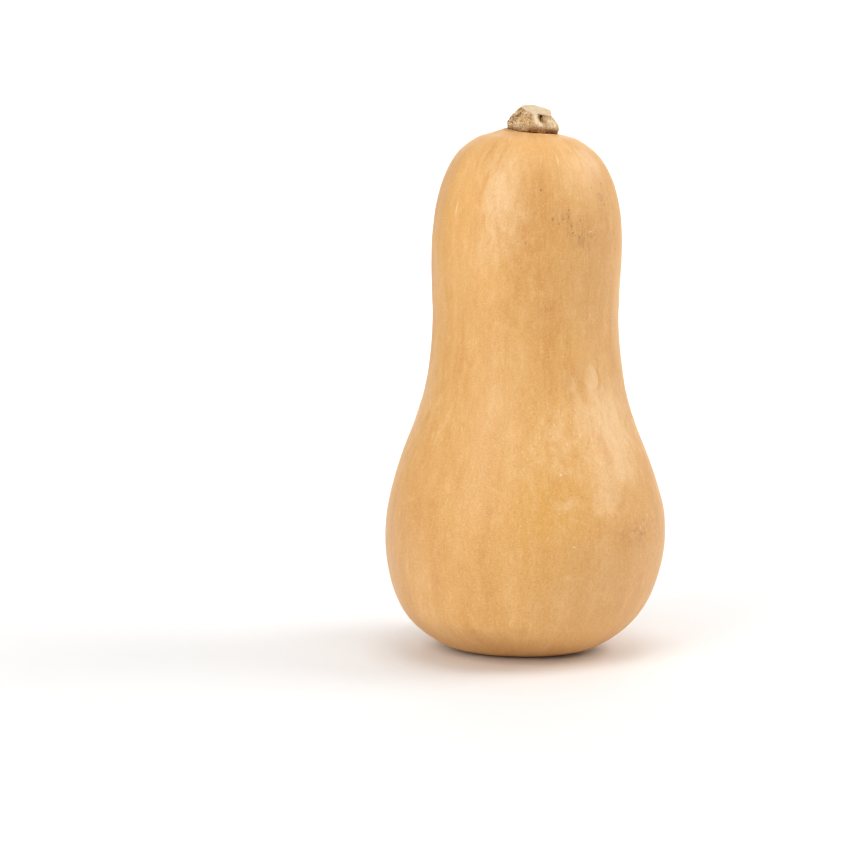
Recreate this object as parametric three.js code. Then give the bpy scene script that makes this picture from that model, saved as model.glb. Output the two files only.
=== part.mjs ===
// A whole butternut squash, standing on its blossom end, with the corky stub of
// its stem on top. Millimetres, +Z up. The origin is on the surface it stands
// on, under the middle of the bulb. The side seen first faces -Y.
import * as THREE from "three";

// ---- driving dimensions (mm) ----
const BODY_HEIGHT = 251.3; // blossom end to the seat of the stem
const DIMPLE_RADIUS = 9.5; // hollow round the blossom scar
const DIMPLE_DEPTH = 1.8;
const FOOT_RADIUS = 17; // outer edge of the flattened ring it stands on
const SEAT_RADIUS = 9; // small flat at the top, under the stem
// Half section of the fruit, from the foot ring to the stem seat: [radius, height].
const PROFILE = [
  [FOOT_RADIUS, 0], [24, 0.3], [32, 1.1], [41, 4.0], [49, 9.4], [55.7, 16.5],
  [62.4, 28], [66.7, 42], [68.3, 56], [67.3, 70], [63.7, 84], [58.7, 98],
  [53.0, 112], [48.4, 127], [45.8, 143], [44.5, 160], [44.9, 176],
  [45.4, 191], [45.0, 204], [43.3, 217], [39.8, 229], [33.7, 239.8],
  [25.2, 246.9], [18.5, 249.4], [13.2, 250.8], [SEAT_RADIUS, BODY_HEIGHT],
];
const FRAME_X = -0.27; // brings the middle of the outline onto the axes
const FRAME_Y = 1.04;
const RIBS = 10; // faint vascular ribs along the fruit
const SEAT_X = 1.2; // middle of the seat, before the frame shift
const SEAT_Y = 2.2;
const SHOULDER_TILT = 0.034; // the shoulders lean down a little towards +X
const SEAT_TILT = 0.098; // and the seat that much more
const FRONT_TILT = 0.045; // the seat leans down towards -Y too

// ---- stem stub (mm) ----
const STEM_X = 2.4; // where the stub sits on the seat, before the frame shift
const STEM_Y = 1.6;
const STEM_LEAN_X = 2.2; // cut end against foot
const STEM_LEAN_Y = -0.3;
const STEM_HEIGHT = 9.6; // at the middle of the slanting cut
const CUT_SLOPE_X = -0.2;
const CUT_SLOPE_Y = 0.32;
// Outline of the cut end: [degrees round from -Y towards +X, radius]. Its ridges run down to the foot.
const CUT_OUTLINE = [
  [-4, 8.0], [6, 6.2], [15, 4.5], [30, 4.9], [44, 5.9], [53, 7.2], [60, 8.4],
  [75, 7.7], [90, 7.4], [105, 7.6], [121, 8.3], [137, 7.1], [155, 6.6],
  [183, 6.8], [209, 6.5], [234, 6.9], [260, 7.4], [285, 6.0], [312, 5.4],
  [338, 5.7], [348, 6.7],
];
const CUT_RADIUS = 7.4; // the round end that this outline departs from
const STEM_TWIST = 24; // degrees that the ridges turn from foot to cut
// Radius at each share of the height, on the -X and +X sides.
const STEM_SHARES = [0, 0.06, 0.14, 0.22, 0.33, 0.47, 0.6, 0.7, 0.8, 0.9, 1];
const STEM_LEFT = [11.3, 11.6, 11.8, 11.9, 11.95, 11.35, 10.35, 9.45, 8.6, 7.8, 7.2];
const STEM_RIGHT = [11.8, 12.0, 12.1, 12.15, 11.9, 10.9, 9.8, 8.7, 7.8, 7.5, 7.4];
const GAP = 0.3; // between stub and fruit

// ---- mesh density ----
const FRUIT_SEGMENTS = 64;
const STEM_SEGMENTS = 60;

const smooth = (a, b, x) => {
  const t = Math.min(1, Math.max(0, (x - a) / (b - a)));
  return t * t * (3 - 2 * t);
};

const wrap = (d) => ((((d + 180) % 360) + 360) % 360) - 180;
// How far the leaning top lies below a level one, x and y from its middle, r out.
const lean = (x, y, r) =>
  x * (SHOULDER_TILT + SEAT_TILT * (1 - smooth(7, 22, r))) - y * FRONT_TILT * (1 - smooth(10, 24, r));

// Point i of the spline through pts, at share t of the way to point i + 1.
function along(pts, i, t) {
  const n = pts.length;
  const mirror = (p, q) => [2 * p[0] - q[0], 2 * p[1] - q[1]];
  const p1 = pts[i], p2 = pts[i + 1];
  const p0 = i > 0 ? pts[i - 1] : mirror(p1, p2);
  const p3 = i + 2 < n ? pts[i + 2] : mirror(p2, p1);
  return [0, 1].map(
    (c) =>
      0.5 *
      (2 * p1[c] +
        (p2[c] - p0[c]) * t +
        (2 * p0[c] - 5 * p1[c] + 4 * p2[c] - p3[c]) * t * t +
        (3 * p1[c] - p0[c] - 3 * p2[c] + p3[c]) * t * t * t),
  );
}

// Half section of the fruit as lathe points, bottom centre to top centre.
function fruitSection() {
  const out = [];
  for (const r of [0, 0.3, 0.55, 0.8].map((s) => s * DIMPLE_RADIUS))
    out.push([r, DIMPLE_DEPTH * (0.5 + 0.5 * Math.cos((Math.PI * r) / DIMPLE_RADIUS))]);
  out.push([DIMPLE_RADIUS, 0]);
  for (let i = 0; i + 1 < PROFILE.length; i++) {
    const steps = i > 0 && i < 20 ? 2 : 1;
    for (let s = 0; s < steps; s++) {
      const p = along(PROFILE, i, s / steps);
      out.push([p[0], Math.max(0, p[1])]);
    }
  }
  out.push([SEAT_RADIUS, BODY_HEIGHT], [0, BODY_HEIGHT]);
  return out.map(([r, z]) => new THREE.Vector2(r, z));
}

// The fruit isn't a true body of revolution: faint lobes, ribs and soft dents
// change its radius, and its axis wanders a little. a is the angle from +X.
function fruitPoint(a, r, z) {
  const bulb = smooth(0, 30, z) * (1 - smooth(70, 130, z));
  const neck = smooth(110, 150, z) * (1 - smooth(215, 246, z));
  let k =
    1 +
    0.01 * bulb * Math.cos(2 * (a - 1.9)) +
    0.006 * bulb * Math.cos(3 * a + 0.7) +
    0.008 * neck * Math.cos(2 * (a + 0.5)) +
    0.005 * neck * Math.cos(3 * a - 0.9);
  const rib =
    0.0016 +
    0.006 * smooth(190, 235, z) * (1 - smooth(240, 249, z)) +
    0.0045 * (1 - smooth(6, 40, z)) * smooth(0, 5, z);
  k += rib * Math.cos(RIBS * a + 0.35 * Math.sin(3 * a) + 0.8);
  k +=
    0.0045 *
    Math.sin(3 * a + 1.3 + z / 31) *
    Math.sin(z / 14.3 + 0.6 + 0.8 * Math.sin(2 * a)) *
    smooth(2, 25, z) *
    (1 - smooth(225, 247, z));
  // The foot is set back a little on the -Y side.
  const off = wrap((a * 180) / Math.PI + 95);
  k *= 1 - 0.2 * Math.exp(-((off / 57) ** 2)) * (1 - smooth(2, 22, z));
  let x = r * k * Math.cos(a);
  let y = r * k * Math.sin(a);
  const drop = lean(x, y, r) * smooth(205, 246, z);
  x += -1.6 * (1 - smooth(12, 60, z)) + SEAT_X * smooth(180, 238, z);
  y += SEAT_Y * smooth(90, 240, z) - smooth(20, 60, z) * (1 - smooth(80, 130, z));
  return [x + FRAME_X, y + FRAME_Y, z - drop];
}

// Puts every vertex of a lathed geometry where place(angle from +X, radius, height) says.
function reshape(section, segments, place) {
  const g = new THREE.LatheGeometry(section, segments);
  const p = g.getAttribute("position");
  const n = section.length;
  for (let i = 0; i <= segments; i++) {
    const a = ((i % segments) / segments) * 2 * Math.PI - Math.PI / 2;
    for (let j = 0; j < n; j++) {
      const [x, y, z] = place(a, section[j].x, section[j].y, j);
      p.setXYZ(i * n + j, x, y, z);
    }
  }
  g.computeVertexNormals();
  return g;
}

// ---- the stub: ridges that turn and flare into a round foot, cut off on a slant ----
// Radius of the cut end over that of a round one.
function outline(deg) {
  const n = CUT_OUTLINE.length;
  const d = ((((deg - CUT_OUTLINE[0][0]) % 360) + 360) % 360) + CUT_OUTLINE[0][0];
  let i = 0;
  while (i + 1 < n && CUT_OUTLINE[i + 1][0] <= d) i++;
  const [d0, r0] = CUT_OUTLINE[i];
  const [d1, r1] = i + 1 < n ? CUT_OUTLINE[i + 1] : [CUT_OUTLINE[0][0] + 360, CUT_OUTLINE[0][1]];
  return (r0 + (r1 - r0) * smooth(d0, d1, d)) / CUT_RADIUS;
}

function table(values, h) {
  let i = 1;
  while (i < STEM_SHARES.length - 1 && STEM_SHARES[i] < h) i++;
  const t = (h - STEM_SHARES[i - 1]) / (STEM_SHARES[i] - STEM_SHARES[i - 1]);
  return values[i - 1] + (values[i] - values[i - 1]) * t;
}

// u: share of the radius, 0 at the axis; h: share of the height.
function stemPoint(a, u, h) {
  const deg = (a * 180) / Math.PI + 90;
  const left = 0.5 - 0.5 * Math.sin((deg * Math.PI) / 180);
  let r = table(STEM_LEFT, h) * left + table(STEM_RIGHT, h) * (1 - left);
  const relief = 0.12 + 0.88 * smooth(0.05, 0.95, h);
  r *= 1 + (outline(deg - STEM_TWIST * (1 - h)) - 1) * relief;
  const x = STEM_X + STEM_LEAN_X * h + u * r * Math.cos(a);
  const y = STEM_Y + STEM_LEAN_Y * h + u * r * Math.sin(a);
  const top =
    STEM_HEIGHT +
    CUT_SLOPE_X * (x - STEM_X - STEM_LEAN_X) +
    CUT_SLOPE_Y * (y - STEM_Y - STEM_LEAN_Y);
  // The underside follows the skin, a gap above it; above that it rises to the cut.
  const w = smooth(0, 0.5, h);
  const z = skinHeight(x, y) * (1 - w) + skinHeight(STEM_X, STEM_Y) * w + GAP + h * top;
  return [x + FRAME_X, y + FRAME_Y, z];
}

// Height of the fruit's skin near the stem, at x, y before the frame shift.
function skinHeight(x, y) {
  const d = Math.hypot(x - SEAT_X, y - SEAT_Y);
  const drop = lean(x - SEAT_X, y - SEAT_Y, d);
  if (d <= SEAT_RADIUS) return BODY_HEIGHT - drop;
  let last = PROFILE[PROFILE.length - 1];
  for (let i = PROFILE.length - 2; i >= 0; i--) {
    for (let s = 9; s >= 0; s--) {
      const p = along(PROFILE, i, s / 10);
      if (p[0] >= d) {
        const f = (d - last[0]) / (p[0] - last[0]);
        return last[1] + (p[1] - last[1]) * f - drop;
      }
      last = p;
    }
  }
  return BODY_HEIGHT - drop;
}

function stemSection() {
  const v = (u, h) => new THREE.Vector2(u, h);
  const under = [0, 0.72].map((u) => v(u, 0));
  const side = [0, 0.06, 0.14, 0.24, 0.34, 0.47, 0.6, 0.7, 0.8, 0.9, 1].map((h) => v(1, h));
  const cut = [0.5, 0].map((u) => v(u, 1));
  return [...under, ...side, ...cut];
}

const fruit = new THREE.Mesh(
  reshape(fruitSection(), FRUIT_SEGMENTS, fruitPoint),
  new THREE.MeshStandardMaterial({ color: 0xe3b074, roughness: 0.5, metalness: 0 }),
);
fruit.name = "fruit";

const stem = new THREE.Mesh(
  reshape(stemSection(), STEM_SEGMENTS, stemPoint),
  new THREE.MeshStandardMaterial({ color: 0xc3a47a, roughness: 0.9, metalness: 0 }),
);
stem.name = "stem";

const squash = new THREE.Group();
squash.add(fruit, stem);

export default squash;
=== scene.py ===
"""Looks of a whole butternut squash: the fruit's skin and the corky stub of its stem, on a pale floor in soft studio light."""

import math

import bpy
import numpy as np
from mathutils import Matrix, Vector
from mathutils import noise as mnoise


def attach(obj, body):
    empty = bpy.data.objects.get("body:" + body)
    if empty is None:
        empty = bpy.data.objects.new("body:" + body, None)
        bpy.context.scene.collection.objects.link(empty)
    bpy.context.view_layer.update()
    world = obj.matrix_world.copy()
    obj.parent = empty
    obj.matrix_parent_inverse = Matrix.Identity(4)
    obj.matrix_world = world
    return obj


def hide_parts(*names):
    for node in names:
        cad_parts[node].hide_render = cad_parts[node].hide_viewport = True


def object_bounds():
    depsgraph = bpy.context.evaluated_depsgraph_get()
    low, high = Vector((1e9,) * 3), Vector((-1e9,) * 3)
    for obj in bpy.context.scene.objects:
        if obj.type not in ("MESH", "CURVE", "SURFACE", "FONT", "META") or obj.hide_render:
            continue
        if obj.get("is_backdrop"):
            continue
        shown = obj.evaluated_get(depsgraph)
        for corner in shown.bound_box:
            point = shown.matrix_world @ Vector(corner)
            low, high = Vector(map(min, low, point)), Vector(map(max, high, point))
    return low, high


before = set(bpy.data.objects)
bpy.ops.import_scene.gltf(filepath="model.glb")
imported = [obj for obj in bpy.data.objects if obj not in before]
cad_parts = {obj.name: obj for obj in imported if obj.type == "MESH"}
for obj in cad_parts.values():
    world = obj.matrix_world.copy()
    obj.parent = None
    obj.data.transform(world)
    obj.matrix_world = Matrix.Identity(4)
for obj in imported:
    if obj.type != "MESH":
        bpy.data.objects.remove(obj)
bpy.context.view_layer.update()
scene = bpy.context.scene

# ---------------------------------------------------------------- shape, in millimetres
# The same section and lobes as the solid model, sampled much finer.
BODY_HEIGHT = 251.3
DIMPLE_RADIUS, DIMPLE_DEPTH = 9.5, 1.8
FOOT_RADIUS, SEAT_RADIUS = 17.0, 9.0
PROFILE = [
    (FOOT_RADIUS, 0), (24, 0.3), (32, 1.1), (41, 4.0), (49, 9.4), (55.7, 16.5),
    (62.4, 28), (66.7, 42), (68.3, 56), (67.3, 70), (63.7, 84), (58.7, 98),
    (53.0, 112), (48.4, 127), (45.8, 143), (44.5, 160), (44.9, 176),
    (45.4, 191), (45.0, 204), (43.3, 217), (39.8, 229), (33.7, 239.8),
    (25.2, 246.9), (18.5, 249.4), (13.2, 250.8), (SEAT_RADIUS, BODY_HEIGHT),
]
FRAME_X, FRAME_Y = -0.27, 1.04
RIBS = 10
SEAT_X, SEAT_Y = 1.2, 2.2
SHOULDER_TILT, SEAT_TILT, FRONT_TILT = 0.034, 0.098, 0.045
STEM_X, STEM_Y = 2.4, 1.6
STEM_LEAN_X, STEM_LEAN_Y, STEM_HEIGHT = 2.2, -0.3, 9.6
CUT_SLOPE_X, CUT_SLOPE_Y = -0.2, 0.32
CUT_OUTLINE = [
    (-4, 8.0), (6, 6.2), (15, 4.5), (30, 4.9), (44, 5.9), (53, 7.2), (60, 8.4),
    (75, 7.7), (90, 7.4), (105, 7.6), (121, 8.3), (137, 7.1), (155, 6.6),
    (183, 6.8), (209, 6.5), (234, 6.9), (260, 7.4), (285, 6.0), (312, 5.4),
    (338, 5.7), (348, 6.7),
]
CUT_RADIUS = 7.4
STEM_TWIST = 24
STEM_SHARES = [0, 0.06, 0.14, 0.22, 0.33, 0.47, 0.6, 0.7, 0.8, 0.9, 1]
STEM_LEFT = [11.3, 11.6, 11.8, 11.9, 11.95, 11.35, 10.35, 9.45, 8.6, 7.8, 7.2]
STEM_RIGHT = [11.8, 12.0, 12.1, 12.15, 11.9, 10.9, 9.8, 8.7, 7.8, 7.5, 7.4]
GAP = 0.3


def smooth(a, b, x):
    t = np.clip((x - a) / (b - a), 0.0, 1.0)
    return t * t * (3 - 2 * t)


def spline(pts, steps):
    """Points of the spline through pts, steps[i] of them from point i on."""
    p = np.array(pts, float)
    q = np.vstack([2 * p[0] - p[1], p, 2 * p[-1] - p[-2]])
    out = []
    for i in range(1, len(q) - 2):
        a, b, c, d = q[i - 1], q[i], q[i + 1], q[i + 2]
        t = np.linspace(0, 1, steps[i - 1], endpoint=False)[:, None]
        out.append(0.5 * (2 * b + (c - a) * t + (2 * a - 5 * b + 4 * c - d) * t * t + (3 * b - a - 3 * c + d) * t ** 3))
    out.append(p[-1][None])
    return np.vstack(out)


def noise3(p, seed):
    """Smooth gradient noise, about -1 to 1, at points p of shape (..., 3)."""
    rng = np.random.default_rng(seed)
    perm = rng.permutation(256)
    perm = np.concatenate([perm, perm, perm])
    grads = rng.normal(size=(256, 3))
    grads /= np.linalg.norm(grads, axis=1)[:, None]
    cell = np.floor(p).astype(int)
    f = p - cell
    cell &= 255
    w = f * f * f * (f * (f * 6 - 15) + 10)
    total = np.zeros(p.shape[:-1])
    for dx in (0, 1):
        for dy in (0, 1):
            for dz in (0, 1):
                h = perm[perm[perm[cell[..., 0] + dx] + cell[..., 1] + dy] + cell[..., 2] + dz]
                g = grads[h]
                dot = g[..., 0] * (f[..., 0] - dx) + g[..., 1] * (f[..., 1] - dy) + g[..., 2] * (f[..., 2] - dz)
                wx = w[..., 0] if dx else 1 - w[..., 0]
                wy = w[..., 1] if dy else 1 - w[..., 1]
                wz = w[..., 2] if dz else 1 - w[..., 2]
                total += dot * wx * wy * wz
    return total * 1.6


def fbm(p, seed, octaves=4, gain=0.5):
    out, amp, norm = 0.0, 1.0, 0.0
    for i in range(octaves):
        out = out + amp * noise3(p * (2.03 ** i) + 17.3 * i, seed + i)
        norm += amp
        amp *= gain
    return out / norm


def wrap(d):
    return (d + 180.0) % 360.0 - 180.0


def lean(x, y, r):
    """How far the leaning top lies below a level one, x and y from its middle, r out."""
    return x * (SHOULDER_TILT + SEAT_TILT * (1 - smooth(7, 22, r))) - y * FRONT_TILT * (1 - smooth(10, 24, r))


def fruit_point(a, r, z):
    bulb = smooth(0, 30, z) * (1 - smooth(70, 130, z))
    neck = smooth(110, 150, z) * (1 - smooth(215, 246, z))
    k = (1 + 0.01 * bulb * np.cos(2 * (a - 1.9)) + 0.006 * bulb * np.cos(3 * a + 0.7)
         + 0.008 * neck * np.cos(2 * (a + 0.5)) + 0.005 * neck * np.cos(3 * a - 0.9))
    rib = (0.0016 + 0.006 * smooth(190, 235, z) * (1 - smooth(240, 249, z))
           + 0.0045 * (1 - smooth(6, 40, z)) * smooth(0, 5, z))
    k = k + rib * np.cos(RIBS * a + 0.35 * np.sin(3 * a) + 0.8)
    k = k + (0.0045 * np.sin(3 * a + 1.3 + z / 31) * np.sin(z / 14.3 + 0.6 + 0.8 * np.sin(2 * a))
             * smooth(2, 25, z) * (1 - smooth(225, 247, z)))
    off = wrap(np.degrees(a) + 95)
    k = k * (1 - 0.2 * np.exp(-((off / 57) ** 2)) * (1 - smooth(2, 22, z)))
    x, y = r * k * np.cos(a), r * k * np.sin(a)
    drop = lean(x, y, r) * smooth(205, 246, z)
    x = x - 1.6 * (1 - smooth(12, 60, z)) + SEAT_X * smooth(180, 238, z)
    y = y + SEAT_Y * smooth(90, 240, z) - smooth(20, 60, z) * (1 - smooth(80, 130, z))
    return x + FRAME_X, y + FRAME_Y, z - drop


def normals_of(P):
    """Unit normals of a grid of points, around (closed) by along, pointing out."""
    du = np.roll(P, -1, axis=0) - np.roll(P, 1, axis=0)
    dv = np.gradient(P, axis=1)
    n = np.cross(du, dv)
    length = np.linalg.norm(n, axis=2, keepdims=True)
    n = np.where(length > 1e-9, n / np.maximum(length, 1e-9), [0, 0, 1.0])
    return n


def grid_mesh(name, P, first, last):
    """A closed surface from a grid of points (around, along) with one point at each end. In metres."""
    nu, nv = P.shape[:2]
    verts = np.vstack([P.reshape(-1, 3), first[None], last[None]]) * 0.001
    i = np.arange(nu)
    j = np.arange(nv - 1)
    I, J = np.meshgrid(i, j, indexing="ij")
    I2 = (I + 1) % nu
    quads = np.stack([I * nv + J, I2 * nv + J, I2 * nv + J + 1, I * nv + J + 1], -1).reshape(-1, 4)
    i2 = (i + 1) % nu
    low = np.stack([np.full(nu, nu * nv), i2 * nv, i * nv], 1)
    high = np.stack([np.full(nu, nu * nv + 1), i * nv + nv - 1, i2 * nv + nv - 1], 1)
    mesh = bpy.data.meshes.new(name)
    mesh.from_pydata(verts.tolist(), [], quads.tolist() + low.tolist() + high.tolist())
    mesh.polygons.foreach_set("use_smooth", np.ones(len(mesh.polygons), bool))
    mesh.update()
    obj = bpy.data.objects.new(name, mesh)
    scene.collection.objects.link(obj)
    return obj


def put(obj, name, values, kind="FLOAT"):
    attribute = obj.data.attributes.new(name, kind, "POINT")
    attribute.data.foreach_set("value" if kind == "FLOAT" else "vector", np.asarray(values, np.float32).ravel())


# ---------------------------------------------------------------- fruit
NU = 348


def section():
    inner = np.linspace(0.35, DIMPLE_RADIUS, 16)
    dimple = np.stack([inner, DIMPLE_DEPTH * (0.5 + 0.5 * np.cos(math.pi * inner / DIMPLE_RADIUS))], 1)
    ring = np.stack([np.linspace(DIMPLE_RADIUS, FOOT_RADIUS, 9)[1:-1], np.zeros(7)], 1)
    steps = []
    for (r0, z0), (r1, z1) in zip(PROFILE[:-1], PROFILE[1:]):
        length = math.hypot(r1 - r0, z1 - z0)
        pitch = 0.62 if z0 > 243 else 1.15 if z0 > 225 else 1.3 if z0 < 12 else 1.62
        steps.append(max(2, round(length / pitch)))
    body = spline(PROFILE, steps)
    body[:, 1] = np.maximum(body[:, 1], 0)
    seat = np.stack([np.linspace(SEAT_RADIUS, 0.35, 10)[1:], np.full(9, BODY_HEIGHT)], 1)
    return np.vstack([dimple, ring, body, seat])


sec = section()
arc = np.concatenate([[0], np.cumsum(np.hypot(*np.diff(sec, axis=0).T))])
ang = np.arange(NU) / NU * 2 * math.pi - math.pi / 2
A, R = np.meshgrid(ang, sec[:, 0], indexing="ij")
Z = np.broadcast_to(sec[:, 1], A.shape)
S = np.broadcast_to(arc, A.shape)
P = np.stack(fruit_point(A, R, Z), -1)
N = normals_of(P)
# Out of the solid at every row: the foot's flat parts face down.
N = np.where((np.sum(N * (P - np.array([0, 0, 110.0])), axis=2) < 0)[..., None], -N, N)

# Unevenness of a grown skin: soft swells and shallow dents, less on the foot ring.
body_w = smooth(0.5, 9, Z)
swell = 0.34 * fbm(P / 34.0, 11, 3) + 0.13 * fbm(P / 13.0, 23, 3) + 0.045 * fbm(P / 5.2, 31, 2)
# Long shallow flutes that wander, at about the scale of the ribs.
dirs = np.stack([np.cos(A) * 3.1, np.sin(A) * 3.1, S / 95.0], -1)
swell += 0.16 * noise3(dirs, 41) * smooth(14, 60, Z) * (1 - smooth(238, 249, Z))
# Skin puckered up round the foot of the stem.
ds = np.hypot(P[..., 0] - (STEM_X + FRAME_X), P[..., 1] - (STEM_Y + FRAME_Y))
near_top = smooth(236, 246, Z)
ring_a = np.arctan2(P[..., 1] - (STEM_Y + FRAME_Y), P[..., 0] - (STEM_X + FRAME_X))
ring_deg = np.degrees(ring_a) + 90
ring_at = np.stack([np.cos(ring_a), np.sin(ring_a), 0 * ring_a], -1)


def hump(at, wide):
    return np.exp(-((wrap(ring_deg - at) / wide) ** 2))


lip_r = 13.1 + 0.5 * noise3(ring_at * 1.7, 53)
lip = np.exp(-(((ds - lip_r) / 0.95) ** 2)) * (0.1 + 0.42 * hump(34, 34) + 0.16 * hump(150, 50) + 0.14 * hump(300, 26) + 0.07 * noise3(ring_at * 3, 55))
gutter = -0.28 * np.exp(-(((ds - lip_r + 1.5) / 0.7) ** 2)) * (0.3 + 0.7 * hump(40, 60))
pucker = 0.13 * noise3(ring_at * 4.6 + np.array([0, 0, 1.0]) * ds[..., None] / 30, 57) * np.exp(-(((ds - 14.5) / 4.5) ** 2))
swell += near_top * (lip + gutter + pucker)
# On the left it falls away at once.
swell -= 0.4 * near_top * hump(270, 50) * smooth(11.8, 14.2, ds) * (1 - smooth(17.5, 23, ds))
# In front the shoulder is a little rounder.
swell -= 0.4 * np.exp(-(((R - 25.5) / 5.5) ** 2)) * smooth(236, 244, Z) * np.exp(-((wrap(np.degrees(A) + 90) / 62) ** 2))
# Inside the solid model's box at its widest.
swell -= 0.17 * smooth(18, 40, Z) * (1 - smooth(72, 100, Z))
# Blossom scar: a corky button in the hollow of the foot, with short creases round it.
foot_d = np.hypot(P[..., 0] - (FRAME_X - 1.6), P[..., 1] - FRAME_Y)
low = (Z < 3) & (R < FOOT_RADIUS + 8)
button = 1 - smooth(4.2, 6.0, foot_d)
scar_rough = fbm(np.stack([P[..., 0], P[..., 1], 0 * A], -1) / 1.25, 67, 3)
crease = noise3(np.stack([np.cos(A) * 2.6, np.sin(A) * 2.6, foot_d / 14], -1), 71)
scar = np.where(low, button * (0.85 + 0.32 * scar_rough) + (1 - button) * 0.22 * crease * (1 - smooth(6.5, DIMPLE_RADIUS, foot_d)), 0)
P = P + N * (swell * body_w)[..., None] + N * scar[..., None]
P[..., 2] = np.maximum(P[..., 2], 0.0)

bottom = np.array([FRAME_X - 1.6, FRAME_Y, DIMPLE_DEPTH - 0.9])
top = np.array([SEAT_X + FRAME_X, SEAT_Y + FRAME_Y, BODY_HEIGHT])
fruit = grid_mesh("squash_fruit", P, bottom, top)
# Coordinates on the skin, in millimetres: a ring of 55 mm radius by the way along the fruit.
skin = np.stack([55 * np.cos(A), 55 * np.sin(A), S], -1).reshape(-1, 3)
put(fruit, "skin", np.vstack([skin, [[0, 0, 0]], [[0, 0, arc[-1]]]]), "FLOAT_VECTOR")
put(fruit, "swell", np.concatenate([swell.ravel(), [0, 0]]))
put(fruit, "by_stem", np.concatenate([(near_top * np.exp(-((np.maximum(ds - 12.5, 0) / 5.0) ** 1.3))).ravel(), [0, 1]]))
# Papery brown skin drawn up at the left of the stem's foot.
paper = near_top * smooth(0.15, 0.6, np.exp(-(((ds - 12.4) / 1.7) ** 2)) * (hump(308, 34) + 0.35 * hump(190, 30)) + 0.16 * noise3(P / 1.6, 59))
put(fruit, "lip", np.concatenate([(near_top * np.exp(-(((ds - lip_r) / 1.0) ** 2)) * hump(34, 36)).ravel(), [0, 0]]))
put(fruit, "paper", np.concatenate([paper.ravel(), [0, 0]]))
put(fruit, "scar", np.concatenate([np.where(low, 1 - smooth(4.9, 7.0, foot_d + 1.3 * scar_rough), 0).ravel(), [1, 0]]))
put(fruit, "foot_near", np.concatenate([np.where(Z < 40, np.exp(-((foot_d / 17.0) ** 2)), 0).ravel(), [1, 0]]))

# Soft patches of other tones: degrees from -Y towards +X, way along the fruit, half sizes, strength.
around = np.degrees(A) + 90


def patches(*spots):
    total = np.zeros(A.shape)
    for at, way, wide, tall, k in spots:
        off = wrap(around - at) * (math.pi / 180 * 50)
        bend = 3.0 * noise3(P / 22.0, 83)
        total = np.maximum(total, k * np.exp(-(((off + bend) / wide) ** 2) - ((S - way + bend) / tall) ** 2))
    return np.concatenate([np.clip(total, 0, 1).ravel(), [0, 0]])


put(fruit, "warm", patches((-43, 272, 22, 36, 0.8), (0, 300, 34, 12, 0.8), (-24, 236, 14, 16, 0.7), (150, 240, 30, 60, 0.8), (-140, 130, 34, 40, 0.7), (70, 300, 26, 14, 0.6)))
put(fruit, "gold", patches((9, 122, 20, 22, 1.0), (12, 100, 20, 16, 0.8), (-110, 210, 20, 40, 0.7), (190, 110, 26, 30, 0.8), (100, 190, 16, 40, 0.5)))
put(fruit, "rosy", patches((46, 92, 26, 30, 1.0), (52, 242, 16, 40, 0.9), (-70, 100, 30, 40, 0.8), (130, 80, 30, 34, 0.8), (-150, 260, 24, 34, 0.7)))
# Darker patches: mostly darker skin, but those on the front right of the neck, from 10° to 40°, are partly darker skin
# and partly painted shade.
put(fruit, "dark_tone_and_shade", patches((10, 268, 15, 22, 1.0), (30, 258, 14, 12, 0.8), (16, 222, 12, 30, 0.35), (40, 226, 12, 26, 0.55), (30, 187, 8, 9, 0.8), (50, 110, 10, 8, 0.7), (-76, 276, 8, 20, 0.8), (-125, 250, 20, 24, 0.7), (160, 150, 16, 30, 0.6)))
# Paler patches: mostly paler skin, but the large ones on the right, from 46° to 54°, are partly paler skin and partly a
# painted highlight.
put(fruit, "pale_skin_and_highlight", patches((-19, 272, 13, 27, 0.85), (-27, 248, 10, 16, 0.5), (54, 290, 13, 10, 0.9), (37, 131, 10, 9, 0.7), (50, 166, 22, 26, 1.0), (46, 144, 18, 14, 0.8), (16, 154, 10, 18, 0.5), (-10, 262, 9, 24, 0.5), (-34, 286, 14, 14, 0.4), (18, 128.4, 5, 3.6, 0.7), (-85, 170, 22, 26, 0.6), (120, 165, 24, 24, 0.6), (200, 280, 18, 22, 0.6)))
put(fruit, "speckled", patches((27, 261, 14, 7, 1.0), (35, 254, 9, 7, 0.9), (56, 272, 7, 8, 0.9), (64, 250, 6, 9, 0.7), (-130, 200, 14, 12, 0.8), (150, 120, 16, 12, 0.7)))
put(fruit, "rubbed", patches((54, 112, 11, 5, 1.0), (42, 252, 8, 5, 0.8), (33, 258, 5, 4, 0.6), (-160, 120, 14, 8, 0.8), (95, 86, 12, 7, 0.6)))
put(fruit, "stretch", patches((30, 160, 40, 14, 1.0), (52, 118, 14, 7, 1.0), (-60, 163, 50, 14, 0.8), (150, 165, 60, 16, 0.9)))

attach(fruit, "root")
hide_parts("fruit")

# ---------------------------------------------------------------- stem stub
SU = 440


def outline(deg):
    """Radius of the cut end over that of a round one."""
    at = np.array([c[0] for c in CUT_OUTLINE] + [CUT_OUTLINE[0][0] + 360.0])
    r = np.array([c[1] for c in CUT_OUTLINE] + [CUT_OUTLINE[0][1]]) / CUT_RADIUS
    d = np.mod(deg - at[0], 360.0) + at[0]
    i = np.clip(np.searchsorted(at, d, side="right") - 1, 0, len(at) - 2)
    return r[i] + (r[i + 1] - r[i]) * smooth(at[i], at[i + 1], d)


top_section = spline(PROFILE, [10] * (len(PROFILE) - 1))[-60:][::-1]


def skin_height(x, y):
    """Height of the skin near the stem, before the frame shift."""
    d = np.hypot(x - SEAT_X, y - SEAT_Y)
    level = np.where(d <= SEAT_RADIUS, BODY_HEIGHT, np.interp(d, top_section[:, 0], top_section[:, 1]))
    return level - lean(x - SEAT_X, y - SEAT_Y, d)


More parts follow.
